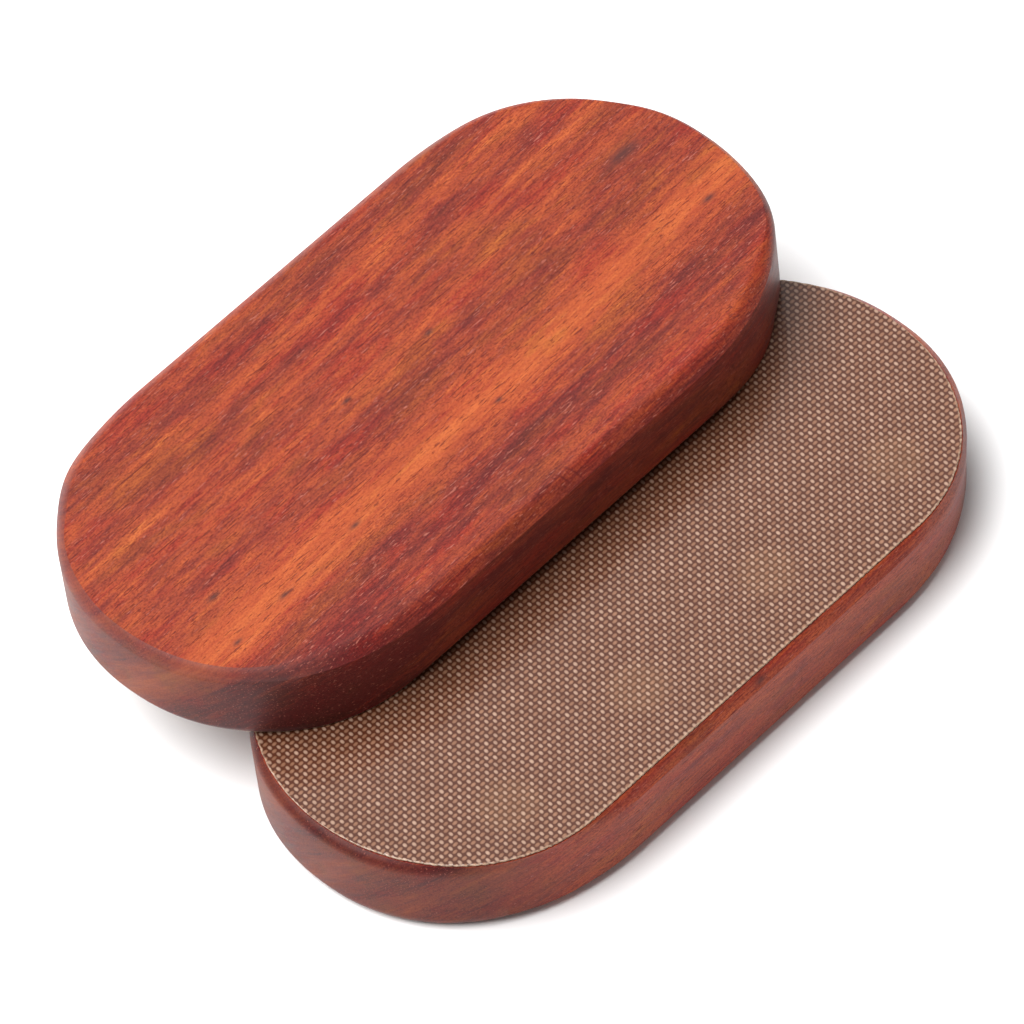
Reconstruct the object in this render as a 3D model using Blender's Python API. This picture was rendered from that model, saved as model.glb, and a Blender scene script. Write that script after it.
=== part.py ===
"""A magnetic wooden hand slider, in metres, +Z up.

Two matching halves lie face to face. Each half is a flat wooden block with rounded ends. Disc magnets are
sunk into its inner face, and an adhesive film and a coated woven sheet cover them. The upper half rests one
row of magnets to the side of the lower half, and slides across it along Y.

The origin is at the centre of the lower half's underside, and X runs along the length.
"""

import math
from collections import namedtuple

import bmesh
import bpy

MM = 0.001

# An obround outline: straight sides, and ends that are superellipses. reach is how far an end runs in along
# the length. An exponent of 2 is an ellipse, and a little more makes the end slightly square.
Obround = namedtuple("Obround", "length width reach exponent")

# Driving dimensions.
BLOCK = Obround(60.0 * MM, 30.0 * MM, 17.2 * MM, 2.18)
BLOCK_THICKNESS = 6.8 * MM
OUTER_BEVEL = 1.0 * MM
INNER_BEVEL_DROP = 0.6 * MM

SHEET = Obround(58.7 * MM, 28.8 * MM, 13.0 * MM, 2.05)  # cut a little squarer than the block
SHEET_THICKNESS = 0.12 * MM
FILM_THICKNESS = 0.03 * MM
FILM_INSET = 0.2 * MM  # the film ends short of the sheet's cut edge
LAYER_GAP = 0.01 * MM  # between one layer and the next
FACE_LIP = 0.04 * MM  # how far the block's flat face shows around the sheet

MAGNET_DIAMETER = 5.0 * MM
MAGNET_THICKNESS = 2.0 * MM
MAGNET_EDGE = 0.15 * MM
MAGNET_COLUMNS = 4
MAGNET_ROWS = 2
COLUMN_PITCH = 13.2 * MM
ROW_PITCH = 18.0 * MM
POCKET_CLEARANCE = 0.05 * MM  # all around a magnet, over it and under it

# Derived sizes.
FILM_Z = LAYER_GAP
SHEET_Z = FILM_Z + FILM_THICKNESS + LAYER_GAP
HALF_STACK = SHEET_Z + SHEET_THICKNESS  # what stands on the inner face
REST_OFFSET = ROW_PITCH  # the halves rest one row of magnets apart

# Mesh resolution.
END_SEGMENTS = 40
MAGNET_SEGMENTS = 24
BEVEL_SEGMENTS = 4
SHARP_ANGLE = math.radians(35)


def clear_scene():
    for thing in list(bpy.data.objects):
        bpy.data.objects.remove(thing, do_unlink=True)


def make_material(name, color, roughness, metallic=0.0):
    material = bpy.data.materials.new(name)
    material.use_nodes = True
    shader = material.node_tree.nodes["Principled BSDF"]
    shader.inputs["Base Color"].default_value = (*color, 1.0)
    shader.inputs["Roughness"].default_value = roughness
    shader.inputs["Metallic"].default_value = metallic
    material.diffuse_color = (*color, 1.0)
    return material


def signed_power(value, exponent):
    return math.copysign(abs(value) ** exponent, value)


def outline(shape, inset=0.0):
    """The outline's points, counter-clockwise, moved in by inset."""
    reach = shape.reach - inset
    half_width = shape.width / 2 - inset
    end_start = shape.length / 2 - shape.reach
    points = []
    for side in (1, -1):
        for step in range(END_SEGMENTS + 1):
            angle = math.pi * (step / END_SEGMENTS - 0.5)
            x = end_start + reach * signed_power(math.cos(angle), 2 / shape.exponent)
            y = half_width * signed_power(math.sin(angle), 2 / shape.exponent)
            points.append((side * x, side * y))
    return points


def lofted(levels):
    """A closed body through levels of (points, z), from the lowest to the highest."""
    mesh = bmesh.new()
    rings = [[mesh.verts.new((x, y, z)) for x, y in points] for points, z in levels]
    for low, high in zip(rings, rings[1:]):
        for here in range(len(low)):
            after = (here + 1) % len(low)
            mesh.faces.new((low[here], low[after], high[after], high[here]))
    mesh.faces.new(reversed(rings[0]))
    mesh.faces.new(rings[-1])
    return mesh


def place(data, name):
    thing = bpy.data.objects.new(name, data)
    bpy.context.scene.collection.objects.link(thing)
    return thing


def finished(mesh, name, material):
    """The mesh as an object, smooth but for its sharp edges."""
    data = bpy.data.meshes.new(name)
    mesh.to_mesh(data)
    mesh.free()
    data.materials.append(material)
    data.shade_smooth()
    data.set_sharp_from_angle(angle=SHARP_ANGLE)
    return place(data, name)


def magnet_places():
    """The magnets' centres on the inner face, row by row."""
    for row in range(MAGNET_ROWS):
        y = (row - (MAGNET_ROWS - 1) / 2) * ROW_PITCH
        for column in range(MAGNET_COLUMNS):
            yield ((column - (MAGNET_COLUMNS - 1) / 2) * COLUMN_PITCH, y)


def make_pocket_cutter(name):
    """The plain cylinders that drill the magnets' blind pockets, 1 mm proud of the inner face."""
    proud = 1.0 * MM
    depth = MAGNET_THICKNESS + 2 * POCKET_CLEARANCE
    radius = MAGNET_DIAMETER / 2 + POCKET_CLEARANCE
    mesh = bmesh.new()
    for x, y in magnet_places():
        drill = bmesh.ops.create_cone(
            mesh, cap_ends=True, segments=MAGNET_SEGMENTS, radius1=radius, radius2=radius, depth=depth + proud
        )
        bmesh.ops.translate(mesh, verts=drill["verts"], vec=(x, y, (proud - depth) / 2))
    data = bpy.data.meshes.new(name)
    mesh.to_mesh(data)
    mesh.free()
    cutter = place(data, name)
    cutter.hide_render = True
    cutter.display_type = "WIRE"
    return cutter


def make_block(name, material):
    """The wooden block, its inner face up at z = 0: a soft bevel round the outer face, a flat one round the
    inner face, whose flat follows the sheet, and the magnets' pockets."""
    levels = []
    for step in range(BEVEL_SEGMENTS + 1):
        angle = step / BEVEL_SEGMENTS * math.pi / 2
        inset = OUTER_BEVEL * (1 - math.sin(angle))
        levels.append((outline(BLOCK, inset), OUTER_BEVEL * (1 - math.cos(angle)) - BLOCK_THICKNESS))
    levels.append((outline(BLOCK), -INNER_BEVEL_DROP))
    levels.append((outline(SHEET, -FACE_LIP), 0.0))
    block = finished(lofted(levels), name, material)
    cutter = make_pocket_cutter(name + "_pocket_cutter")
    drill = block.modifiers.new("magnet_pockets", "BOOLEAN")
    drill.operation = "DIFFERENCE"
    drill.solver = "EXACT"
    drill.object = cutter
    return [block, cutter]


def make_magnets(prefix, material):
    """Nickel-plated discs with broken edges, one in each pocket, sharing one mesh."""
    mesh = bmesh.new()
    radius = MAGNET_DIAMETER / 2
    bmesh.ops.create_cone(
        mesh, cap_ends=True, segments=MAGNET_SEGMENTS, radius1=radius, radius2=radius, depth=MAGNET_THICKNESS
    )
    rims = [edge for edge in mesh.edges if abs(edge.verts[0].co.z - edge.verts[1].co.z) < MAGNET_EDGE]
    bmesh.ops.bevel(mesh, geom=rims, offset=MAGNET_EDGE, segments=1, affect="EDGES")
    middle = -POCKET_CLEARANCE - MAGNET_THICKNESS / 2
    magnets = []
    for number, (x, y) in enumerate(magnet_places(), start=1):
        name = f"{prefix}_magnet_{number}"
        magnet = place(magnets[0].data, name) if magnets else finished(mesh, name, material)
        magnet.location = (x, y, middle)
        magnets.append(magnet)
    return magnets


def make_layer(name, material, inset, z, thickness):
    """A thin layer on the inner face."""
    points = outline(SHEET, inset)
    return finished(lofted([(points, z), (points, z + thickness)]), name, material)


def make_half(prefix, materials, location, turn):
    """One half of the slider, around an empty at the centre of the block's inner face."""
    anchor = bpy.data.objects.new(prefix + "_half", None)
    bpy.context.scene.collection.objects.link(anchor)
    anchor.location = location
    anchor.rotation_euler = (turn, 0, 0)
    parts = make_block(prefix + "_block", materials["wood"])
    parts += make_magnets(prefix, materials["magnet"])
    parts.append(
        make_layer(prefix + "_adhesive_film", materials["film"], FILM_INSET, FILM_Z, FILM_THICKNESS)
    )
    parts.append(make_layer(prefix + "_facing_sheet", materials["sheet"], 0.0, SHEET_Z, SHEET_THICKNESS))
    for part in parts:
        part.parent = anchor


def main():
    clear_scene()
    materials = {
        "wood": make_material("oiled_padauk", (0.33, 0.07, 0.022), 0.42),
        "magnet": make_material("nickel_plate", (0.72, 0.70, 0.66), 0.25, metallic=1.0),
        "film": make_material("adhesive_film", (0.62, 0.55, 0.40), 0.45),
        "sheet": make_material("coated_weave", (0.29, 0.16, 0.115), 0.35),
    }
    make_half("lower", materials, (0, 0, BLOCK_THICKNESS), 0.0)
    upper_z = BLOCK_THICKNESS + 2 * HALF_STACK + LAYER_GAP
    make_half("upper", materials, (0, REST_OFFSET, upper_z), math.pi)


main()
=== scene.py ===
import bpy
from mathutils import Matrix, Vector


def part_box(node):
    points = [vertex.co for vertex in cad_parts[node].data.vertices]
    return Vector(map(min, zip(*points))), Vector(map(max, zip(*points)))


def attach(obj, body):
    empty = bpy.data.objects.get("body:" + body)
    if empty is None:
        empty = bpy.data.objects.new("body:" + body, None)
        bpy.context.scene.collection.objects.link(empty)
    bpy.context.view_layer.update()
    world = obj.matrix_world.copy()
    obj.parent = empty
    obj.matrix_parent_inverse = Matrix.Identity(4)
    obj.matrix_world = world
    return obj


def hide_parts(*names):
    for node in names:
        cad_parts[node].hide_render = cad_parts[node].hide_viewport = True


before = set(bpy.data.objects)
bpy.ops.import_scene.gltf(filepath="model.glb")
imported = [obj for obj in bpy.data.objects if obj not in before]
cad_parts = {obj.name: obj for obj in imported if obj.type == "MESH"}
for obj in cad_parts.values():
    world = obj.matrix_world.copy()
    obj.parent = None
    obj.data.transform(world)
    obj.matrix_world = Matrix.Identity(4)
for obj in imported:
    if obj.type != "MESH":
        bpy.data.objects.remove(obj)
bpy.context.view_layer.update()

# Looks for a magnetic wooden hand slider: two oiled hardwood blocks with rounded ends, faced with a coated
# woven cloth, that lie face to face. Lengths are in metres in the frame's own axes, or in millimetres where
# a comment says so, as in the materials. X runs along the blocks, Y across them and Z up.

import math

import bmesh
import bpy
import numpy as np
from mathutils import Matrix, Vector

MM = 0.001
TAU = 2 * math.pi
HALVES = ("lower", "upper")

# Outlines are obrounds whose ends are superellipses: reach is how far an end runs in along the length.
BLOCK_REACH = 17.2 * MM
BLOCK_EXPONENT = 2.18
SHEET_REACH = 13.0 * MM
SHEET_EXPONENT = 2.05

# The block's hand-shaped edges.
OUTLINE_POINTS = 360
# Where an end's shape takes over from a straight side's: cosine of the outline's angle, and the span.
ENDNESS = (0.45, 0.4)
OUTER_INSET = 1.25 * MM
OUTER_DROP = 0.95 * MM
OUTER_SOFTNESS = 1.7  # above 1, the bevel leaves the face gently and meets the side at a crisp ridge
OUTER_STEPS = 10
END_INSET = 0.6 * MM  # at the ends the ridge is at the face instead, and curves down into the side
END_DROP = 1.1 * MM
END_CREASE = math.radians(42)  # how far the end's edge turns down at once
END_WAVER = 0.14 * MM  # how far END_INSET varies
INNER_DROP = 0.85 * MM
RIGHT_INNER_DROP = 0.6 * MM  # at the +X end
INNER_STEPS = 6
# The inner edge's ridge fades out towards -X, given in the same way.
INNER_END = (0.28, 0.3)
INNER_BEVEL_POWER = 1.25  # above 1, the inner bevel also leaves the face gently
FACE_LIP = 0.04 * MM
FACE_STEPS = (0.03, 0.08, 0.16, 0.28, 0.42, 0.58, 0.74, 0.88, 1.0)
SIDE_STEPS = 5
WAVES = ((2, 0.34), (3, 0.27), (5, 0.2), (8, 0.12), (13, 0.07))  # waves in a turn, and how high
SANDING = 0.05 * MM  # how far the outline is worn in
DROP_VARIATION = 0.22 * MM
# Where the hand-shaped outlines stand out from the obround, or fall short of it: the outline's angle and
# half width in degrees, and the distance in mm at the outer face and at the inner one.
BULGES = {
    "upper": ((60, 15, 0.42, 0.42), (118, 12, 0.3, 0.3), (92, 14, -0.12, -0.12), (28, 12, -0.16, -0.16),
              (-33, 15, 0.28, 0.28)),
    "lower": ((-50, 20, -0.2, 0.0), (-64, 17, 0.0, 0.28)),
}
SLITS = (-13.9, -12.7, 0.4, 1.3)  # blade marks across the upper block's near bevel: places along X, in mm
SLIT_SLANT = 0.45
SLIT_HALF_WIDTH = 0.09  # in mm
POCKET_MARGIN = 0.05 * MM
POCKET_OVERRUN = 0.5 * MM  # how far the cutter for a pocket stands out of the face
POCKET_SEGMENTS = 32
CRISP_ANGLE = math.radians(24)
MERGE_DISTANCE = 1e-7

# The cloth's plain weave.
PITCH_X = 0.4527 * MM
PITCH_Y = 0.4377 * MM
SAMPLES_PER_THREAD = 3
WEAVE_RISE = 0.022 * MM
THREAD_HALF_WIDTH = 0.62  # of a pitch
WARP_HEIGHT = (0.62, 0.38)  # a warp thread's middle height, and how far it rises and dips about that
WEFT_HEIGHT = (0.52, 0.32)
CUT_WANDER = 0.035 * MM
FRAY = 0.07 * MM
UNEVEN_WAVES = (0.9, 2.3)  # how quickly the fraying varies along the edge, in radians per mm
TIP_FADE = 0.6 * MM
TIP_LENGTH = 1.2 * MM
TIP_COLUMNS = 12
TIP_SLOPE = 6.0 * MM  # nearer to a tip than this, the edge is nearer than the distance to it along Y
TIP_SHARE = 0.35  # what share of that distance it is at the very tip

FLOOR_GAP = 0.01 * MM  # so that the floor and the underside aren't in one plane
FLOOR_REACH = 1.5

# The camera stands to the -X, -Y side and looks down at the object.
CAMERA_AZIMUTH = math.radians(40.46)
CAMERA_ELEVATION = math.radians(50.99)
CAMERA_ROLL = math.radians(7.8)
CAMERA_DISTANCE = 0.6748
CAMERA_AIM = Vector((-0.0009, 0.0086, 0.0070))
CAMERA_LENS = 335.7
CAMERA_SENSOR = 36.0

WORLD_STRENGTH = 0.25
# Suns: name, direction that the light comes from, strength and angular spread in degrees.
SUNS = (("overhead_soft", (-0.36, 0.3, 1.0), 5.0, 56.0), ("back_soft", (0.41, 0.48, 0.78), 0.45, 62.0))


# ---------------------------------------------------------------- outlines

def node_size(node):
    """(centre, size) of a CAD node at rest."""
    low, high = (Vector(corner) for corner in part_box(node))
    return (low + high) / 2, high - low


def obround(length, width, reach, exponent, angle, inset=0.0):
    """The outline's point at a parameter angle, drawn in by inset."""
    c, s = math.cos(angle), math.sin(angle)
    x = (length / 2 - reach) + (reach - inset) * abs(c) ** (2 / exponent)
    y = (width / 2 - inset) * abs(s) ** (2 / exponent)
    return math.copysign(x, c), math.copysign(y, s)


def loop_angles(count):
    """Angles that start just off the X axis, so that no point sits on a sign change."""
    return [TAU * (i + 0.5) / count for i in range(count)]


def wander(angle, seed):
    """A smooth closed curve between about -1 and 1, for hand-made unevenness."""
    return sum(size * math.sin(turns * angle + seed * 1.7 + turns * turns) for turns, size in WAVES)


# ---------------------------------------------------------------- meshes

def object_from(bm, name, smooth=True):
    mesh = bpy.data.meshes.new(name)
    bm.to_mesh(mesh)
    bm.free()
    if smooth:
        mesh.shade_smooth()
    obj = bpy.data.objects.new(name, mesh)
    bpy.context.scene.collection.objects.link(obj)
    return obj


def block_rings(size, sheet_size, seed, bulges):
    """Rings of points up the block in its own frame: outer face at z 0, inner face at z height.

    Each ring is a list of (x, y, z). The outer face comes first and the inner face last."""
    length, width, height = size
    angles = loop_angles(OUTLINE_POINTS)
    medial = length / 2 - width / 2

    def bulge(angle, rise):
        """How far the outline stands out, rise of the way from the outer face to the inner one."""
        total = 0.0
        for place, half_width, outer, inner in bulges:
            off = (math.degrees(angle) - place + 180) % 360 - 180
            total += (outer + (inner - outer) * rise) * MM * math.exp(-(off / half_width) ** 2)
        return total

    def at(angle, inset, rise=0.0):
        """The outline's point, drawn in by inset, rise of the way from the outer face to the inner one."""
        x, y = obround(length, width, BLOCK_REACH, BLOCK_EXPONENT, angle, inset - bulge(angle, rise))
        wobble = SANDING * wander(angle, seed + 4)
        shrink = 1 - max(0.0, wobble) / width
        return x * shrink, y * shrink

    def endness(angle, start=ENDNESS[0], span=ENDNESS[1]):
        """0 along the straight sides, rising smoothly to 1 at the ends."""
        t = min(1.0, max(0.0, (abs(math.cos(angle)) - start) / span))
        return t * t * (3 - 2 * t)

    def arc(v):
        """Shares of the inset and of the drop at v, on an arc that leaves a face with a crease."""
        turn = END_CREASE + (math.pi / 2 - END_CREASE) * v
        return (1 - math.sin(turn)) / (1 - math.sin(END_CREASE)), 1 - math.cos(turn) / math.cos(END_CREASE)

    def inset(angle):
        far_end = END_INSET + END_WAVER * wander(angle, seed + 7)
        return OUTER_INSET + (far_end - OUTER_INSET) * endness(angle)

    def drop(angle):
        deep = OUTER_DROP + (END_DROP - OUTER_DROP) * endness(angle)
        return deep + DROP_VARIATION * wander(angle, seed)

    def inner_drop(angle):
        right = endness(angle) if math.cos(angle) > 0 else 0.0
        return INNER_DROP + (RIGHT_INNER_DROP - INNER_DROP) * right

    def bevel(angle, v):
        """(inset, depth) at v along the outer bevel, from 0 on the face to 1 at the side."""
        arc_in, arc_down = arc(v)
        straight_in, straight_down = 1 - v, v ** OUTER_SOFTNESS
        share = endness(angle)
        return (inset(angle) * (straight_in + (arc_in - straight_in) * share),
                drop(angle) * (straight_down + (arc_down - straight_down) * share))

    def spine(point):
        return max(-medial, min(medial, point[0])), 0.0

    def faced(rim, z):
        rings = []
        for step in FACE_STEPS:
            ring = []
            for x, y in rim:
                sx, sy = spine((x, y))
                ring.append((x + (sx - x) * step, y + (sy - y) * step, z))
            rings.append(ring)
        return rings

    outer_rim = [at(a, inset(a)) for a in angles]
    rings = list(reversed(faced(outer_rim, 0.0)))
    for step in range(OUTER_STEPS + 1):
        ring = []
        for a in angles:
            inward, depth = bevel(a, step / OUTER_STEPS)
            x, y = at(a, inward)
            ring.append((x, y, depth))
        rings.append(ring)

    for step in range(1, SIDE_STEPS + 1):
        u = step / SIDE_STEPS
        ring = []
        for a in angles:
            x, y = at(a, 0, u)
            start = drop(a)
            ring.append((x, y, start + (height - inner_drop(a) - start) * u))
        rings.append(ring)

    sheet_length, sheet_width = sheet_size
    inner_rim = []
    for a in angles:
        inner_rim.append(obround(sheet_length + 2 * FACE_LIP, sheet_width + 2 * FACE_LIP,
                                 SHEET_REACH + FACE_LIP, SHEET_EXPONENT, a))
    for step in range(INNER_STEPS - 1, -1, -1):
        v = step / INNER_STEPS
        arc_in, arc_down = arc(v)
        ring = []
        for a, (ix, iy) in zip(angles, inner_rim):
            x, y = at(a, 0, 1)
            share = endness(a, *INNER_END) if math.cos(a) < 0 else 0.0
            straight_in, straight_down = 1 - v, v ** INNER_BEVEL_POWER
            inward = straight_in + (arc_in - straight_in) * share
            down = straight_down + (arc_down - straight_down) * share
            ring.append((x + (ix - x) * inward, y + (iy - y) * inward, height - inner_drop(a) * down))
        rings.append(ring)
    rings.extend(faced(inner_rim, height))
    return rings


def bridge(bm, rings, place):
    """Skins the rings into a closed solid. place turns a point into its Vector in the frame."""
    grid = [[bm.verts.new(place(p)) for p in ring] for ring in rings]
    count = len(rings[0])
    for low, high in zip(grid, grid[1:]):
        for i in range(count):
            j = (i + 1) % count
            bm.faces.new((low[i], low[j], high[j], high[i]))
    bmesh.ops.remove_doubles(bm, verts=bm.verts, dist=MERGE_DISTANCE)
    bmesh.ops.dissolve_degenerate(bm, edges=bm.edges, dist=MERGE_DISTANCE / 10)
    # The first and last rings close onto the spine, where their two sides meet. A gap left there is filled.
    open_edges = [e for e in bm.edges if e.is_boundary]
    if open_edges:
        bmesh.ops.holes_fill(bm, edges=open_edges, sides=0)
    bmesh.ops.recalc_face_normals(bm, faces=bm.faces)


def placer(half, height):
    """Takes a point in a half's own frame, outer face at z 0, to the shared frame."""
    centre, size = node_size(half + "_block")
    low = centre.z - size.z / 2
    high = centre.z + size.z / 2

    if half == "lower":
        def place(p):
            return Vector((centre.x + p[0], centre.y + p[1], low + p[2]))
    else:
        # The upper half is turned over about X, so that its outer face is on top.
        def place(p):
            return Vector((centre.x + p[0], centre.y + p[1], high - p[2]))
    return place


def cut_pockets(block, half):
    bm = bmesh.new()
    centre, size = node_size(half + "_block")
    inner = centre.z + (size.z / 2 if half == "lower" else -size.z / 2)
    outward = 1 if half == "lower" else -1
    for magnet in magnet_names(half):
        place, disc = node_size(magnet)
        radius = disc.x / 2 + POCKET_MARGIN
        far = place.z - outward * (disc.z / 2 + POCKET_MARGIN)
        near = inner + outward * POCKET_OVERRUN
        middle = Matrix.Translation((place.x, place.y, (far + near) / 2))
        bmesh.ops.create_cone(bm, cap_ends=True, segments=POCKET_SEGMENTS, radius1=radius,
                              radius2=radius, depth=abs(near - far), matrix=middle)
    cutter = object_from(bm, "pocket_cutter", smooth=False)
    modifier = block.modifiers.new("pockets", "BOOLEAN")
    modifier.operation = "DIFFERENCE"
    modifier.solver = "EXACT"
    modifier.object = cutter
    depsgraph = bpy.context.evaluated_depsgraph_get()
    mesh = bpy.data.meshes.new_from_object(block.evaluated_get(depsgraph))
    block.modifiers.clear()
    block.data = mesh
    bpy.data.objects.remove(cutter, do_unlink=True)


def magnet_names(half):
    return sorted(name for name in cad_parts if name.startswith(half + "_magnet_"))


def make_block(half, seed):
    _, size = node_size(half + "_block")
    _, sheet = node_size(half + "_facing_sheet")
    bm = bmesh.new()
    bridge(bm, block_rings(tuple(size), (sheet.x, sheet.y), seed, BULGES[half]), placer(half, size.z))
    block = object_from(bm, half + "_wood")
    cut_pockets(block, half)
    sharpen(block)
    return block


def sharpen(block):
    """Keeps the ridges crisp and everything else smooth."""
    bm = bmesh.new()
    bm.from_mesh(block.data)
    for edge in bm.edges:
        edge.smooth = len(edge.link_faces) == 2 and edge.calc_face_angle(0.0) < CRISP_ANGLE
    bm.to_mesh(block.data)
    bm.free()


def sheet_columns(length):
    """X places: a few to each thread, and closer towards the tips where the outline turns."""
    step = PITCH_X / SAMPLES_PER_THREAD
    reach = length / 2 - TIP_LENGTH
    count = int(reach / step)
    inner = [i * step for i in range(-count, count + 1)]
    tips = [length / 2 - (length / 2 - inner[-1]) * (k / TIP_COLUMNS) ** 2
            for k in range(TIP_COLUMNS)]
    return np.array(sorted([-x for x in tips] + inner + tips))


def sheet_reach_y(x, length, width, seed):
    """Half the sheet's width at x, with the slight waver of a hand-cut edge."""
    straight = length / 2 - SHEET_REACH

    def outline(place):
        run = min(1.0, max(0.0, place - straight) / SHEET_REACH)
        return width / 2 * (1 - run ** SHEET_EXPONENT) ** (1 / SHEET_EXPONENT)

    def thread_end(place, pitch):
        return 0.5 + 0.5 * math.sin(TAU * place / pitch)

    # Each cut thread stands out a little from its neighbours, more in some places than in others.
    slow, quick = UNEVEN_WAVES
    uneven = 0.5 + 0.5 * math.sin(x / MM * slow + seed) * math.sin(x / MM * quick + 2 * seed)
    # This fades out at the very tip, so that only the last column there has no width.
    fade = min(1.0, (length / 2 - abs(x)) / TIP_FADE)
    half = outline(abs(x))
    half = outline(abs(x) + FRAY * fade * thread_end(half, PITCH_Y) * uneven)
    drawn_in = CUT_WANDER * uneven + FRAY * thread_end(x, PITCH_X) * (1 - uneven)
    return max(0.0, half - fade * drawn_in)


def weave_height(x, y):
    """Height of the coated weave over its floor, from 0 to 1, at a point on the sheet."""
    u, v = x / PITCH_X, y / PITCH_Y
    column, row = math.floor(u), math.floor(v)
    across, along = u - column - 0.5, v - row - 0.5
    over = 1 if (column + row) % 2 == 0 else -1

    def crown(offset):
        return math.sqrt(max(0.0, 1 - (offset / THREAD_HALF_WIDTH) ** 2))

    warp_middle, warp_swing = WARP_HEIGHT
    weft_middle, weft_swing = WEFT_HEIGHT
    warp = crown(across) * (warp_middle + warp_swing * over * math.cos(math.pi * along))
    weft = crown(along) * (weft_middle - weft_swing * over * math.cos(math.pi * across))
    return max(warp, weft)


def make_sheet(half, seed):
    """The woven facing: a height field whose samples follow the threads, closed by a flat back."""
    centre, size = node_size(half + "_facing_sheet")
    outward = 1 if half == "lower" else -1
    back = centre.z - outward * size.z / 2
    face = centre.z + outward * size.z / 2
    xs = sheet_columns(size.x)
    step = PITCH_Y / SAMPLES_PER_THREAD
    rows = int(size.y / 2 / step) + 2
    ys = np.arange(-rows, rows + 1) * step
    bm = bmesh.new()
    edge_layer = bm.verts.layers.float.new("edge_distance")
    columns, floors = [], []
    for x in xs:
        half_width = sheet_reach_y(x, size.x, size.y, seed)
        share = TIP_SHARE + (1 - TIP_SHARE) * min(1.0, (size.x / 2 - abs(x)) / TIP_SLOPE)
        column, made = [], {}
        for y in ys:
            inside = max(-half_width, min(half_width, y))
            key = round(inside / MERGE_DISTANCE)
            if key not in made:
                lift = WEAVE_RISE * (1 - weave_height(x, inside))
                made[key] = bm.verts.new((centre.x + x, centre.y + inside, face - outward * lift))
                made[key][edge_layer] = (half_width - abs(inside)) * share
            column.append(made[key])
        columns.append(column)
        pair = [bm.verts.new((centre.x + x, centre.y - half_width, back))]
        pair.append(pair[0] if half_width < MERGE_DISTANCE
                    else bm.verts.new((centre.x + x, centre.y + half_width, back)))
        floors.append(pair)

    def add(*corners):
        ring = []
        for corner in corners:
            if corner not in ring:
                ring.append(corner)
        if len(ring) > 2:
            bm.faces.new(ring)

    for a, b, fa, fb in zip(columns, columns[1:], floors, floors[1:]):
        for j in range(len(ys) - 1):
            add(a[j], b[j], b[j + 1], a[j + 1])
        add(fa[0], fa[1], fb[1], fb[0])
        add(a[0], fa[0], fb[0], b[0])
        add(a[-1], b[-1], fb[1], fa[1])
    for column, pair in ((columns[0], floors[0]), (columns[-1], floors[-1])):
        if column[0] is not column[-1]:
            ordered = []
            for vert in column:
                if vert not in ordered:
                    ordered.append(vert)
            add(*ordered, pair[1], pair[0])
        elif pair[0] is not pair[1]:
            add(column[0], pair[1], pair[0])
    bmesh.ops.recalc_face_normals(bm, faces=bm.faces)
    return object_from(bm, half + "_weave")


# ---------------------------------------------------------------- materials

def linear(red, green, blue):
    """Linear RGBA from 0-255 display values."""
    def channel(value):
        value /= 255
        return value / 12.92 if value <= 0.04045 else ((value + 0.055) / 1.055) ** 2.4
    return (channel(red), channel(green), channel(blue), 1.0)


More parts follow.
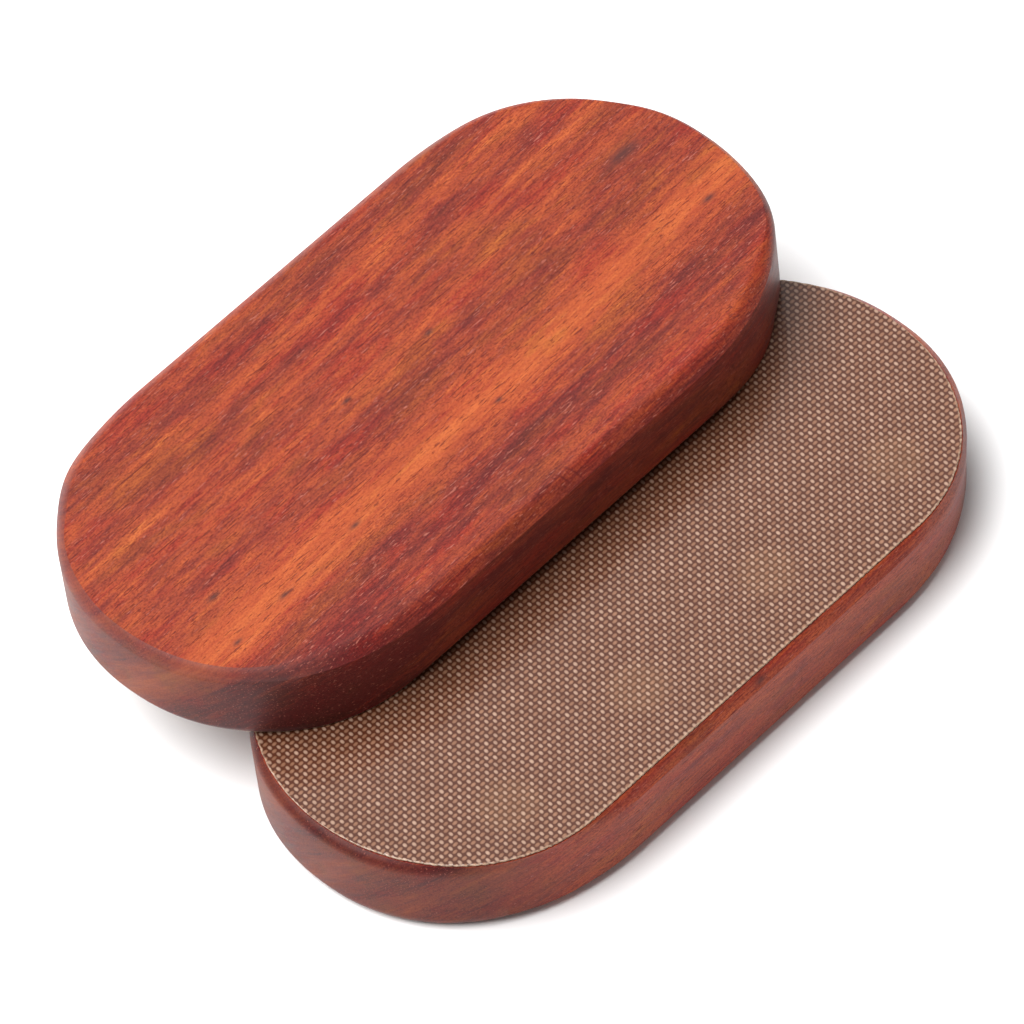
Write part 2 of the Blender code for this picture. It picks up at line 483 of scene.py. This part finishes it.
class Nodes:
    """Builds one material's nodes."""

    def __init__(self, name):
        self.material = bpy.data.materials.new(name)
        self.material.use_nodes = True
        self.tree = self.material.node_tree
        self.tree.nodes.clear()

    def feed(self, socket, value):
        if isinstance(value, bpy.types.NodeSocket):
            self.tree.links.new(value, socket)
        else:
            socket.default_value = value

    def make(self, kind, inputs, **settings):
        node = self.tree.nodes.new(kind)
        for key, value in settings.items():
            setattr(node, key, value)
        for key, value in inputs.items():
            self.feed(node.inputs[key], value)
        return node

    def math(self, operation, a, b=0.0, clamp=False):
        return self.make("ShaderNodeMath", {0: a, 1: b}, operation=operation, use_clamp=clamp).outputs[0]

    def total(self, values):
        result = values[0]
        for value in values[1:]:
            result = self.math("ADD", result, value)
        return result

    def local(self, centre, stretch=(1, 1, 1)):
        """Object coordinates in millimetres about a point, scaled along each axis."""
        source = self.make("ShaderNodeTexCoord", {}).outputs["Object"]
        scale = Vector([1000 * s for s in stretch])
        shift = [-c * s for c, s in zip(centre, scale)]
        node = self.make("ShaderNodeMapping", {"Vector": source, "Scale": scale, "Location": shift})
        return node.outputs["Vector"]

    def scaled(self, vector, stretch):
        return self.make("ShaderNodeMapping", {"Vector": vector, "Scale": stretch}).outputs["Vector"]

    def split(self, vector):
        node = self.make("ShaderNodeSeparateXYZ", {"Vector": vector})
        return node.outputs[0], node.outputs[1], node.outputs[2]

    def noise(self, vector, detail, roughness):
        """Noise whose cells are one unit of the vector across."""
        values = {"Vector": vector, "Scale": 1.0, "Detail": detail, "Roughness": roughness}
        return self.make("ShaderNodeTexNoise", values).outputs[0]

    def smooth(self, value, low, high, start=0.0, end=1.0):
        values = {"Value": value, "From Min": low, "From Max": high, "To Min": start, "To Max": end}
        return self.make("ShaderNodeMapRange", values, interpolation_type="SMOOTHSTEP").outputs[0]

    def hill(self, value, centre, half_width):
        """A smooth bump of height 1 about a centre."""
        offset = self.math("DIVIDE", self.math("SUBTRACT", value, centre), half_width)
        return self.math("EXPONENT", self.math("MULTIPLY", self.math("MULTIPLY", offset, offset), -1.0))

    def mix(self, factor, a, b, blend="MIX"):
        node = self.make("ShaderNodeMix", {0: factor, 6: a, 7: b}, data_type="RGBA", blend_type=blend)
        return node.outputs[2]

    def ramp(self, factor, stops):
        node = self.make("ShaderNodeValToRGB", {0: factor})
        elements = node.color_ramp.elements
        while len(elements) < len(stops):
            elements.new(0.5)
        for element, (place, colour) in zip(elements, stops):
            element.position = place
            element.color = colour
        return node.outputs[0]

    def bump(self, height, distance, strength=1.0):
        values = {"Height": height, "Distance": distance, "Strength": strength}
        return self.make("ShaderNodeBump", values).outputs[0]

    def finish(self, colour, roughness, normal=None, **constants):
        shader = self.make("ShaderNodeBsdfPrincipled", {"Base Color": colour, "Roughness": roughness})
        for key, value in constants.items():
            shader.inputs[key.replace("_", " ")].default_value = value
        if normal is not None:
            self.feed(shader.inputs["Normal"], normal)
        self.make("ShaderNodeOutputMaterial", {"Surface": shader.outputs[0]})
        return self.material


# Growth bands across each block: place across the face and half width in mm, and strength, + for pale
# orange and - for dark.
# The upper block's band at -17.6 is painted shade, not a growth band: it darkens the near side and top
# edge.
BANDS = {
    "upper": ((-5.2, 1.9, 0.42), (-2.2, 1.0, 0.12), (3.0, 0.9, 0.12), (6.5, 0.5, 0.16), (9.9, 0.8, 0.16),
              (-9.9, 1.6, -0.36), (-17.6, 3.0, -0.36), (-1.2, 1.3, -0.16), (5.0, 0.6, -0.1),
              (8.1, 0.6, -0.2), (11.9, 0.7, -0.22)),
    "lower": ((-11.0, 1.6, 0.2), (-4.0, 1.2, 0.25), (5.5, 1.9, 0.3), (-8.0, 1.1, -0.22), (0.8, 0.8, -0.2),
              (10.5, 1.2, -0.3)),
}
# The upper block's left end is dark from one band outwards: its span along X and across the bands, in mm.
DARK_END = (-20.0, -11.0)
DARK_UNDER = (-13.0, -9.5)
DARK_STRENGTH = -0.42
# Small knots on the outer faces: place, half length and half width, in mm.
KNOTS = {"upper": ((24.5, 2.85, 1.6, 0.6), (25.3, -4.8, 0.6, 0.25), (-23.3, -2.8, 0.6, 0.25),
                   (-25.1, -6.9, 0.4, 0.18), (-20.0, -6.5, 0.5, 0.2), (-12.4, -6.0, 0.5, 0.2),
                   (3.5, 2.1, 0.4, 0.2), (2.2, -6.0, 0.35, 0.18), (-4.7, 2.3, 0.4, 0.18)),
         "lower": ((-9.0, 6.1, 1.1, 0.4), (14.5, -7.2, 0.6, 0.25))}
# A small knot on the lower block's near inner bevel: place and half width along X, Y and Z, in mm.
BEVEL_KNOT = ((-0.4, 0.45), (-14.9, 0.5), (3.0, 0.22))
BAND_STRENGTH = 0.9
# How far the bands stray slowly and quickly, in mm over a noise's whole range.
BAND_DRIFT = 2.6
BAND_RAGGED = 2.8
BAND_TILT = 0.045  # how fast the bands cross the block along its length
BAND_DEPTH = 1.15  # and how fast down through its thickness, towards +Y
TONE_MIDDLE = 0.49
# How quickly each noise changes, per mm: first those along the trunk, out through the rings and round them,
# and from HUE_RATE on those along X, Y and Z.
DRIFT_RATE = (0.03, 0.16, 0.16)
RAGGED_RATE = (0.14, 0.6, 0.6)
STREAK_RATE = (0.06, 1.3, 1.3)
MOTTLE_RATE = (0.2, 0.9, 0.9)
HAIR_RATE = (0.45, 4.5, 4.5)
HUE_RATE = (0.11, 0.42, 0.42)
GRIT_RATE = (5.0, 8.0, 8.0)
SHORT_PORE_RATE = (1.0, 8.0, 8.0)
LONG_PORE_RATE = (0.24, 8.5, 8.5)
DUST_AND_GLINT_RATE = (1.3, 9.0, 9.0)
MARK_RATE = (6.5, 0.7, 1.0)
SCRATCH_RATE = (0.5, 14.0, 14.0)
STREAK_STRENGTH, MOTTLE_STRENGTH, HAIR_STRENGTH = 1.2, 1.25, 1.1
DUST_AND_GLINT_SHIFT = Vector((0.1, 0.1, 0))  # so that the noise of the pale flecks isn't the dark pores' own
# Between which values of its noise a pore appears.
SHORT_PORE = (0.597, 0.662)
LONG_PORE = (0.655, 0.707)
DUST_AND_GLINT_PORE = (0.63, 0.69)
# How much of the colour under them pores, knots, marks and slits hide.
SHORT_PORE_SHARE = 0.85  # of a long pore's
PORE_SHARE = 0.82
KNOT_SHARE = 0.9
BEVEL_KNOT_SHARE = 0.85
MARK_SHARE = 0.4
SLIT_SHARE = 0.8
# Where the block's ends begin, along X in mm.
LEFT_END = (-26.0, -19.0)
RIGHT_END = (10.0, 18.0)
WOOD_DARK = linear(99, 32, 28)
WOOD_DEEP = linear(126, 46, 33)
WOOD_MIDDLE = linear(147, 60, 35)
WOOD_LIGHT = linear(165, 73, 37)
WOOD_PALE = linear(184, 92, 45)
PORE_DARK = linear(88, 22, 19)
KNOT = linear(78, 40, 36)
RED_TINT = (1.06, 0.68, 0.75, 1.0)
BROWN_TINT = (0.9, 1.12, 0.82, 1.0)
GRIT_TINT = (0.62, 0.5, 0.5, 1.0)
END_GRAIN_TINT = (0.11, 0.1, 0.24, 1.0)
END_GRAIN_SHARE = {"upper": 0.5, "lower": 0.6}
ROLLED_RIM_TINT = (0.62, 0.56, 0.8, 1.0)
# Pale pinkish grey for the upper block's left rim: dust, and a painted sheen.
RIM_DUST_AND_SHEEN = linear(166, 122, 123)
PALE_DUST_AND_GLINT = linear(175, 102, 85)


def wood_material(half):
    centre, size = node_size(half + "_block")
    nodes = Nodes(half + "_padauk")
    plain = nodes.local(centre)
    x, y, z = nodes.split(plain)
    tilt = nodes.math("MULTIPLY", x, BAND_TILT)
    depth = nodes.math("MULTIPLY", nodes.math("SUBTRACT", size.z / 2 / MM, z), BAND_DEPTH)
    level = nodes.math("SUBTRACT", nodes.math("SUBTRACT", y, tilt), depth)
    # Space as the tree grew it: along the trunk, out through the rings, and round them.
    around = nodes.math("MULTIPLY", z, 0.3)
    grown = nodes.make("ShaderNodeCombineXYZ", {0: x, 1: level, 2: around}).outputs[0]
    slow = nodes.noise(nodes.scaled(grown, DRIFT_RATE), 3.0, 0.55)
    ragged = nodes.noise(nodes.scaled(grown, RAGGED_RATE), 4.0, 0.65)
    drift = nodes.math("MULTIPLY", nodes.math("SUBTRACT", slow, 0.5), BAND_DRIFT)
    wavering = nodes.math("MULTIPLY", nodes.math("SUBTRACT", ragged, 0.5), BAND_RAGGED)
    across = nodes.total([level, drift, wavering])

    bands = [nodes.math("MULTIPLY", nodes.hill(across, place, wide), strength)
             for place, wide, strength in BANDS[half]]
    if half == "upper":
        left = nodes.smooth(x, *DARK_END, 1.0, 0.0)
        under = nodes.smooth(across, *DARK_UNDER, 1.0, 0.0)
        bands.append(nodes.math("MULTIPLY", nodes.math("MULTIPLY", left, under), DARK_STRENGTH))
    streaks = nodes.noise(nodes.scaled(grown, STREAK_RATE), 6.0, 0.75)
    mottle = nodes.noise(nodes.scaled(grown, MOTTLE_RATE), 5.0, 0.72)
    hair = nodes.noise(nodes.scaled(grown, HAIR_RATE), 3.0, 0.65)
    banding = nodes.math("MULTIPLY", nodes.total(bands), BAND_STRENGTH)
    strengths = ((streaks, STREAK_STRENGTH), (mottle, MOTTLE_STRENGTH), (hair, HAIR_STRENGTH))
    grains = [nodes.math("MULTIPLY", nodes.math("SUBTRACT", grain, 0.5), strength)
              for grain, strength in strengths]
    # The pale bands are calmer than the rest.
    calm = nodes.smooth(banding, 0.05, 0.35, 1.0, 0.6)
    tone = nodes.total([banding, nodes.math("MULTIPLY", nodes.total(grains), calm), TONE_MIDDLE])
    tone = nodes.math("MINIMUM", nodes.math("MAXIMUM", tone, 0.0), 1.0)
    colour = nodes.ramp(tone, ((0.0, WOOD_DARK), (0.25, WOOD_DEEP), (0.5, WOOD_MIDDLE),
                               (0.75, WOOD_LIGHT), (1.0, WOOD_PALE)))

    # The hue wanders: redder here, browner there.
    hue = nodes.noise(nodes.local(centre, HUE_RATE), 3.0, 0.6)
    muted = nodes.smooth(tone, 0.4, 0.72, 1.0, 0.15)
    colour = nodes.mix(nodes.math("MULTIPLY", nodes.smooth(hue, 0.48, 0.63, 0.0, 0.9), muted), colour,
                       nodes.mix(1.0, colour, RED_TINT, "MULTIPLY"))
    colour = nodes.mix(nodes.smooth(hue, 0.34, 0.48, 0.8, 0.0), colour,
                       nodes.mix(1.0, colour, BROWN_TINT, "MULTIPLY"))
    grit = nodes.noise(nodes.local(centre, GRIT_RATE), 2.0, 0.7)
    colour = nodes.mix(nodes.math("MULTIPLY", nodes.smooth(grit, 0.34, 0.58, 1.0, 0.0), calm), colour,
                       nodes.mix(1.0, colour, GRIT_TINT, "MULTIPLY"))

    # Pores: dark dashes along the grain, and pale ones mostly in the dark wood, which are dust in them and
    # painted glints on their edges. On end grain only the pale ones show, as flecks.
    along, _, upward = nodes.split(nodes.make("ShaderNodeTexCoord", {}).outputs["Normal"])
    tipped = nodes.math("ABSOLUTE", upward)
    at_left = nodes.smooth(x, *LEFT_END, 1.0, 0.0)
    right_rim = nodes.math("MULTIPLY", nodes.smooth(tipped, 0.4, 0.6), nodes.smooth(x, *RIGHT_END))
    end_side = nodes.math("MULTIPLY", nodes.smooth(nodes.math("ABSOLUTE", along), 0.12, 0.75),
                          nodes.math("SUBTRACT", 1.0, right_rim))
    left_rim = nodes.math("MULTIPLY", nodes.smooth(tipped, 0.8, 0.97, 1.0, 0.0), at_left)
    end_grain = nodes.math("MAXIMUM", end_side, left_rim)
    crowd = nodes.smooth(mottle, 0.35, 0.65, -0.05, 0.03)
    short = nodes.math("ADD", nodes.noise(nodes.local(centre, SHORT_PORE_RATE), 2.0, 0.5), crowd)
    longer = nodes.math("ADD", nodes.noise(nodes.local(centre, LONG_PORE_RATE), 2.0, 0.5), crowd)
    short_pores = nodes.math("MULTIPLY", nodes.smooth(short, *SHORT_PORE), SHORT_PORE_SHARE)
    pores = nodes.math("MAXIMUM", short_pores, nodes.smooth(longer, *LONG_PORE))
    pore = nodes.math("MULTIPLY", pores, nodes.math("SUBTRACT", 1.0, end_grain))
    dust_and_glint_noise = nodes.noise(nodes.local(centre + DUST_AND_GLINT_SHIFT, DUST_AND_GLINT_RATE), 2.0, 0.5)
    dust_and_glint = nodes.math("MULTIPLY", nodes.smooth(dust_and_glint_noise, *DUST_AND_GLINT_PORE), nodes.smooth(tone, 0.3, 0.6, 1.0, 0.22))
    colour = nodes.mix(nodes.math("MULTIPLY", pore, PORE_SHARE), colour, PORE_DARK)
    for place_x, place_y, half_long, half_wide in KNOTS[half]:
        knot = nodes.math("MULTIPLY", nodes.hill(x, place_x, half_long), nodes.hill(y, place_y, half_wide))
        colour = nodes.mix(nodes.math("MULTIPLY", knot, KNOT_SHARE), colour, KNOT)
    if half == "lower":
        hills = [nodes.hill(value, place, wide) for value, (place, wide) in zip((x, y, z), BEVEL_KNOT)]
        knot = nodes.math("MULTIPLY", nodes.math("MULTIPLY", hills[0], hills[1]), hills[2])
        colour = nodes.mix(nodes.math("MULTIPLY", knot, BEVEL_KNOT_SHARE), colour, KNOT)

    # End grain drinks more oil, so it is darker.
    colour = nodes.mix(nodes.math("MULTIPLY", end_grain, END_GRAIN_SHARE[half]), colour,
                       nodes.mix(1.0, colour, END_GRAIN_TINT, "MULTIPLY"))
    # The left rims: the lower block's is rolled over and stained, the upper one's has dust and a painted
    # sheen.
    if half == "lower":
        rolled = nodes.math("MULTIPLY", at_left, nodes.smooth(upward, 0.1, 0.6))
        colour = nodes.mix(rolled, colour, nodes.mix(1.0, colour, ROLLED_RIM_TINT, "MULTIPLY"))
    else:
        dust_and_sheen = nodes.math("MULTIPLY", left_rim, nodes.smooth(tipped, 0.1, 0.4, 0.0, 0.1))
        colour = nodes.mix(dust_and_sheen, colour, RIM_DUST_AND_SHEEN)
    fleck_and_glint = nodes.math("MULTIPLY", dust_and_glint, nodes.smooth(end_grain, 0.0, 1.0, 0.62, 0.45))
    colour = nodes.mix(fleck_and_glint, colour, PALE_DUST_AND_GLINT)

    # The upper block's near bevel has fine marks across it, and the slits.
    if half == "upper":
        on_top = nodes.smooth(z, size.z / 2 / MM - 1.5, size.z / 2 / MM - 1.0)
        near_edge = nodes.math("MULTIPLY", nodes.hill(y, -size.y / 2 / MM + 0.7, 0.62), on_top)
        across_marks = nodes.noise(nodes.local(centre, MARK_RATE), 2.0, 0.6)
        mark = nodes.math("MULTIPLY", nodes.smooth(across_marks, 0.52, 0.66), near_edge)
        colour = nodes.mix(nodes.math("MULTIPLY", mark, MARK_SHARE), colour, PORE_DARK)
        for place in SLITS:
            inward = nodes.math("ADD", y, size.y / 2 / MM)
            slanted = nodes.math("ADD", x, nodes.math("MULTIPLY", inward, SLIT_SLANT))
            slit = nodes.math("MULTIPLY", nodes.hill(slanted, place, SLIT_HALF_WIDTH), near_edge)
            colour = nodes.mix(nodes.math("MULTIPLY", slit, SLIT_SHARE), colour, PORE_DARK)
            pore = nodes.math("MAXIMUM", pore, slit)

    scratches = nodes.noise(nodes.local(centre, SCRATCH_RATE), 2.0, 0.6)
    relief = nodes.math("SUBTRACT", nodes.math("MULTIPLY", scratches, 0.35), pore)
    roughness = nodes.smooth(nodes.math("ADD", streaks, nodes.math("MULTIPLY", pore, 0.4)),
                             0.2, 1.0, 0.4, 0.58)
    return nodes.finish(colour, roughness, nodes.bump(relief, 0.02 * MM, 0.7), Specular_IOR_Level=0.24)


SWAY = 0.22  # in mm, over the noise's whole range
# Thread crowns: half length and half width in pitches, and how far the long axis is turned from X. The
# bright crowns are pale thread tops and a painted glint, stretched and turned as a glint lies.
CROWN_AND_GLINT = (0.45, 0.29, math.radians(80))
DIM_CROWN = (0.46, 0.31, 0.1)
SPOT_FADE = (0.55, 1.15)  # between these shares of a magnet's radius
SPOT_SHARE = 0.06
SWAY_X_RATE = (0.5, 0.12, 1.0)
SWAY_Y_RATE = (0.12, 0.5, 1.0)
PATCH_RATE = (0.9, 0.9, 0.9)
THREAD_RATE = (3.0, 0.25, 1.0)
FUZZ_RATE = (4.0, 4.0, 4.0)
CLOTH_VALLEY = linear(76, 36, 18)
CLOTH_LOW = linear(150, 108, 83)
CLOTH_CROWN_AND_GLINT = linear(176, 143, 122)
CLOTH_SPOT = linear(181, 139, 95)
CLOTH_EDGE = linear(188, 158, 132)


def cloth_material(half):
    centre, _ = node_size(half + "_facing_sheet")
    nodes = Nodes(half + "_coated_weave")
    x, y, _ = nodes.split(nodes.local(centre))
    # The threads sway a little from straight.
    sway_x = nodes.noise(nodes.local(centre, SWAY_X_RATE), 2.0, 0.5)
    sway_y = nodes.noise(nodes.local(centre, SWAY_Y_RATE), 2.0, 0.5)
    swayed_x = nodes.math("ADD", x, nodes.math("MULTIPLY", nodes.math("SUBTRACT", sway_x, 0.5), SWAY))
    swayed_y = nodes.math("ADD", y, nodes.math("MULTIPLY", nodes.math("SUBTRACT", sway_y, 0.5), SWAY))
    u = nodes.math("DIVIDE", swayed_x, PITCH_X / MM)
    v = nodes.math("DIVIDE", swayed_y, PITCH_Y / MM)
    column, row = nodes.math("FLOOR", u), nodes.math("FLOOR", v)
    across = nodes.math("SUBTRACT", nodes.math("SUBTRACT", u, column), 0.5)
    along = nodes.math("SUBTRACT", nodes.math("SUBTRACT", v, row), 0.5)
    odd = nodes.math("FLOORED_MODULO", nodes.math("ADD", column, row), 2.0)
    over = nodes.math("SUBTRACT", 1.0, odd)

    def crown(half_long, half_short, lean):
        """1 in the middle of a thread's crown, falling to 0 outside it."""
        c, s = math.cos(lean), math.sin(lean)
        a = nodes.math("ADD", nodes.math("MULTIPLY", across, c / half_long),
                       nodes.math("MULTIPLY", along, s / half_long))
        b = nodes.math("SUBTRACT", nodes.math("MULTIPLY", along, c / half_short),
                       nodes.math("MULTIPLY", across, s / half_short))
        radius = nodes.math("ADD", nodes.math("MULTIPLY", a, a), nodes.math("MULTIPLY", b, b))
        return nodes.smooth(radius, 0.0, 1.7, 1.0, 0.0)

    # The bright crowns: pale thread tops, and a painted glint on the coat.
    crown_and_glint = nodes.math("MULTIPLY", crown(*CROWN_AND_GLINT), over)
    dim = nodes.math("MULTIPLY", crown(*DIM_CROWN), odd)
    patchy = nodes.noise(nodes.local(centre, PATCH_RATE), 3.0, 0.6)
    thread = nodes.noise(nodes.local(centre, THREAD_RATE), 2.0, 0.5)
    vary = nodes.smooth(nodes.math("ADD", patchy, nodes.math("MULTIPLY", thread, 0.5)), 0.4, 1.1, 0.55, 1.0)
    colour = nodes.mix(nodes.math("MULTIPLY", dim, vary), CLOTH_VALLEY, CLOTH_LOW)
    colour = nodes.mix(nodes.math("MULTIPLY", crown_and_glint, vary), colour, CLOTH_CROWN_AND_GLINT)

    # Over each magnet the pressed cloth is a little golder: its own colour, and a painted weaker sheen.
    spots = []
    for magnet in magnet_names(half):
        place, disc = node_size(magnet)
        dx = nodes.math("SUBTRACT", x, (place.x - centre.x) / MM)
        dy = nodes.math("SUBTRACT", y, (place.y - centre.y) / MM)
        far = nodes.math("SQRT", nodes.math("ADD", nodes.math("MULTIPLY", dx, dx),
                                            nodes.math("MULTIPLY", dy, dy)))
        radius = disc.x / 2 / MM
        fade_in, fade_out = SPOT_FADE
        spots.append(nodes.smooth(far, radius * fade_in, radius * fade_out, 1.0, 0.0))
    colour = nodes.mix(nodes.math("MULTIPLY", nodes.total(spots), SPOT_SHARE), colour, CLOTH_SPOT)

    edge = nodes.make("ShaderNodeAttribute", {}, attribute_name="edge_distance").outputs["Fac"]
    near = nodes.smooth(edge, 0.03 * MM, 0.2 * MM, 1.0, 0.0)
    fuzz = nodes.smooth(nodes.noise(nodes.local(centre, FUZZ_RATE), 2.0, 0.6), 0.35, 0.6, 0.25, 1.0)
    colour = nodes.mix(nodes.math("MULTIPLY", near, nodes.math("MULTIPLY", fuzz, 0.65)), colour, CLOTH_EDGE)
    roughness = nodes.smooth(patchy, 0.25, 0.75, 0.3, 0.42)
    return nodes.finish(colour, roughness, nodes.bump(nodes.math("ADD", crown_and_glint, dim), 0.006 * MM, 0.4),
                        Coat_Weight=0.55, Coat_Roughness=0.12, Specular_IOR_Level=0.3)


def film_material():
    nodes = Nodes("adhesive_film")
    cloudy = nodes.noise(nodes.local((0, 0, 0), (0.6, 0.6, 0.6)), 4.0, 0.6)
    colour = nodes.ramp(cloudy, ((0.3, linear(160, 137, 96)), (0.7, linear(184, 164, 128))))
    roughness = nodes.smooth(cloudy, 0.2, 0.8, 0.35, 0.6)
    return nodes.finish(colour, roughness, nodes.bump(cloudy, 0.004 * MM, 0.5))


def magnet_material():
    nodes = Nodes("nickel_plate")
    cloudy = nodes.noise(nodes.local((0, 0, 0), (1.4, 1.4, 1.4)), 3.0, 0.6)
    fine = nodes.noise(nodes.local((0, 0, 0), (9.0, 9.0, 9.0)), 2.0, 0.5)
    colour = nodes.ramp(cloudy, ((0.3, linear(178, 174, 167)), (0.7, linear(204, 201, 195))))
    worn = nodes.math("ADD", cloudy, nodes.math("MULTIPLY", fine, 0.3))
    roughness = nodes.smooth(worn, 0.3, 1.0, 0.14, 0.32)
    return nodes.finish(colour, roughness, nodes.bump(fine, 0.002 * MM, 0.4), Metallic=1.0)


def floor_material():
    nodes = Nodes("pale_floor")
    mottle = nodes.noise(nodes.local((0, 0, 0), (0.05, 0.05, 0.05)), 2.0, 0.5)
    colour = nodes.ramp(mottle, ((0.2, linear(248, 248, 248)), (0.8, linear(252, 252, 252))))
    return nodes.finish(colour, 0.9, Specular_IOR_Level=0.1)


def dress(obj, material):
    """Gives an object one material, in its slots."""
    if not obj.material_slots:
        obj.data.materials.append(material)
    for slot in obj.material_slots:
        slot.link = "OBJECT"
        slot.material = material


# ---------------------------------------------------------------- the stage

def make_floor():
    bm = bmesh.new()
    bmesh.ops.create_grid(bm, x_segments=8, y_segments=8, size=FLOOR_REACH)
    floor = object_from(bm, "floor", smooth=False)
    floor.location.z = -FLOOR_GAP
    dress(floor, floor_material())


def make_sun(name, towards, strength, spread):
    """A soft, distant light that shines from the direction towards."""
    data = bpy.data.lights.new(name, "SUN")
    data.energy = strength
    data.angle = math.radians(spread)
    light = bpy.data.objects.new(name, data)
    light.rotation_euler = (-Vector(towards)).to_track_quat("-Z", "Y").to_euler()
    bpy.context.scene.collection.objects.link(light)


def make_lights():
    """A broad light from above and a weak one from behind. The near side mostly has the world's light, and
    what the floor gives back."""
    world = bpy.data.worlds.new("studio")
    world.use_nodes = True
    background = world.node_tree.nodes["Background"]
    background.inputs["Color"].default_value = (1.0, 1.0, 1.0, 1.0)
    background.inputs["Strength"].default_value = WORLD_STRENGTH
    bpy.context.scene.world = world
    for sun in SUNS:
        make_sun(*sun)


def make_camera():
    data = bpy.data.cameras.new("camera")
    data.lens = CAMERA_LENS
    data.sensor_width = CAMERA_SENSOR
    data.clip_start = 0.01
    flat = math.cos(CAMERA_ELEVATION)
    forward = Vector((math.sin(CAMERA_AZIMUTH) * flat, math.cos(CAMERA_AZIMUTH) * flat,
                      -math.sin(CAMERA_ELEVATION)))
    level = Vector((math.cos(CAMERA_AZIMUTH), -math.sin(CAMERA_AZIMUTH), 0))
    upright = level.cross(forward)
    right = math.cos(CAMERA_ROLL) * level - math.sin(CAMERA_ROLL) * upright
    up = math.cos(CAMERA_ROLL) * upright + math.sin(CAMERA_ROLL) * level
    turn = Matrix((right, up, -forward)).transposed()
    camera = bpy.data.objects.new("camera", data)
    camera.matrix_world = Matrix.Translation(CAMERA_AIM - CAMERA_DISTANCE * forward) @ turn.to_4x4()
    bpy.context.scene.collection.objects.link(camera)
    bpy.context.scene.camera = camera


# ---------------------------------------------------------------- assembly

def main():
    bpy.context.scene.view_settings.view_transform = "Standard"
    film = film_material()
    nickel = magnet_material()
    for seed, half in enumerate(HALVES, start=1):
        body = half + "_half"
        wood = make_block(half, seed)
        dress(wood, wood_material(half))
        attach(wood, body)
        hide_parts(half + "_block")

        weave = make_sheet(half, seed)
        dress(weave, cloth_material(half))
        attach(weave, body)
        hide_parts(half + "_facing_sheet")

        dress(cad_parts[half + "_adhesive_film"], film)
        for magnet in magnet_names(half):
            dress(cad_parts[magnet], nickel)
    make_floor()
    make_lights()
    make_camera()


main()
